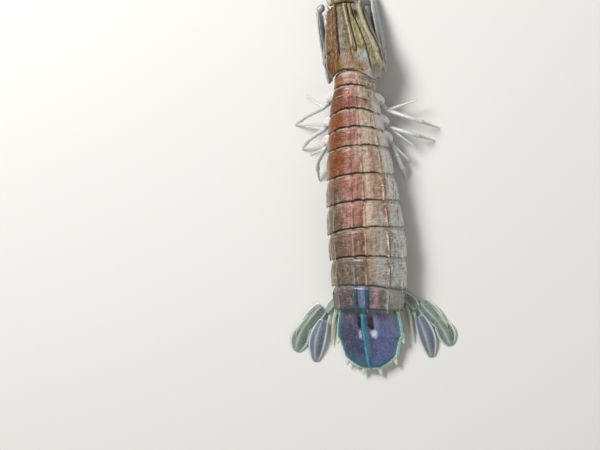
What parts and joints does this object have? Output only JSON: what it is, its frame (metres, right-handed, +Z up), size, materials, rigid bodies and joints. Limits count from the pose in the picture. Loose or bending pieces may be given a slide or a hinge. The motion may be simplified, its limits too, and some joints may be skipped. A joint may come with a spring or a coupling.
{
  "type": "mantis shrimp",
  "caption": "Life-size mantis shrimp lying belly down, with a ridged jointed shell, folded raptorial claws, stalked eyes and a spiny tail fan.",
  "frame": {"origin": "on the floor under the middle of the whole outline, feelers, legs and tail fan included", "axes": "+Y towards the head, +Z up, +X towards the animal's right side"},
  "size_m": [0.0666, 0.1848, 0.0191],
  "materials": {
    "carapace": "wet shell, olive and orange brown",
    "thorax": "wet shell, pink and orange brown bands",
    "abdomen": "wet shell, pink, cream and orange brown, dark rear margins",
    "tail": "wet shell, slate blue with a teal keel",
    "blade": "thin yellow green blades with hairy margins",
    "limb": "pale translucent limb shell",
    "claw": "pale smooth shell with rows of pits",
    "eye": "shiny yellow green cornea",
    "feeler": "thin ringed feelers"
  },
  "bodies": {
    "root": {"carapace": "carapace", "rostral_plate": "carapace", "head": "limb", "thorax_5": "thorax", "thorax_6": "thorax", "thorax_7": "thorax", "thorax_8": "thorax", "abdomen_1": "abdomen", "abdomen_2": "abdomen", "abdomen_3": "abdomen", "abdomen_4": "abdomen", "abdomen_5": "abdomen", "abdomen_6": "abdomen", "telson": "tail", "eye_left": "eye", "antennule_left": "feeler", "antenna_left": "feeler", "antennal_scale_left": "blade", "raptorial_merus_left": "claw", "raptorial_propodus_left": "claw", "raptorial_dactylus_left": "claw", "maxilliped_1_left": "limb", "maxilliped_3_left": "limb", "maxilliped_4_left": "limb", "maxilliped_5_left": "limb", "walking_leg_1_left": "limb", "walking_leg_2_left": "limb", "walking_leg_3_left": "limb", "pleopod_1_left": "limb", "pleopod_2_left": "limb", "pleopod_3_left": "limb", "pleopod_4_left": "limb", "pleopod_5_left": "limb", "uropod_root_left": "tail", "uropod_outer_left": "blade", "uropod_inner_left": "blade", "eye_right": "eye", "antennule_right": "feeler", "antenna_right": "feeler", "antennal_scale_right": "blade", "raptorial_merus_right": "claw", "raptorial_propodus_right": "claw", "raptorial_dactylus_right": "claw", "maxilliped_1_right": "limb", "maxilliped_3_right": "limb", "maxilliped_4_right": "limb", "maxilliped_5_right": "limb", "walking_leg_1_right": "limb", "walking_leg_2_right": "limb", "walking_leg_3_right": "limb", "pleopod_1_right": "limb", "pleopod_2_right": "limb", "pleopod_3_right": "limb", "pleopod_4_right": "limb", "pleopod_5_right": "limb", "uropod_root_right": "tail", "uropod_outer_right": "blade", "uropod_inner_right": "blade"}
  },
  "joints": []
}
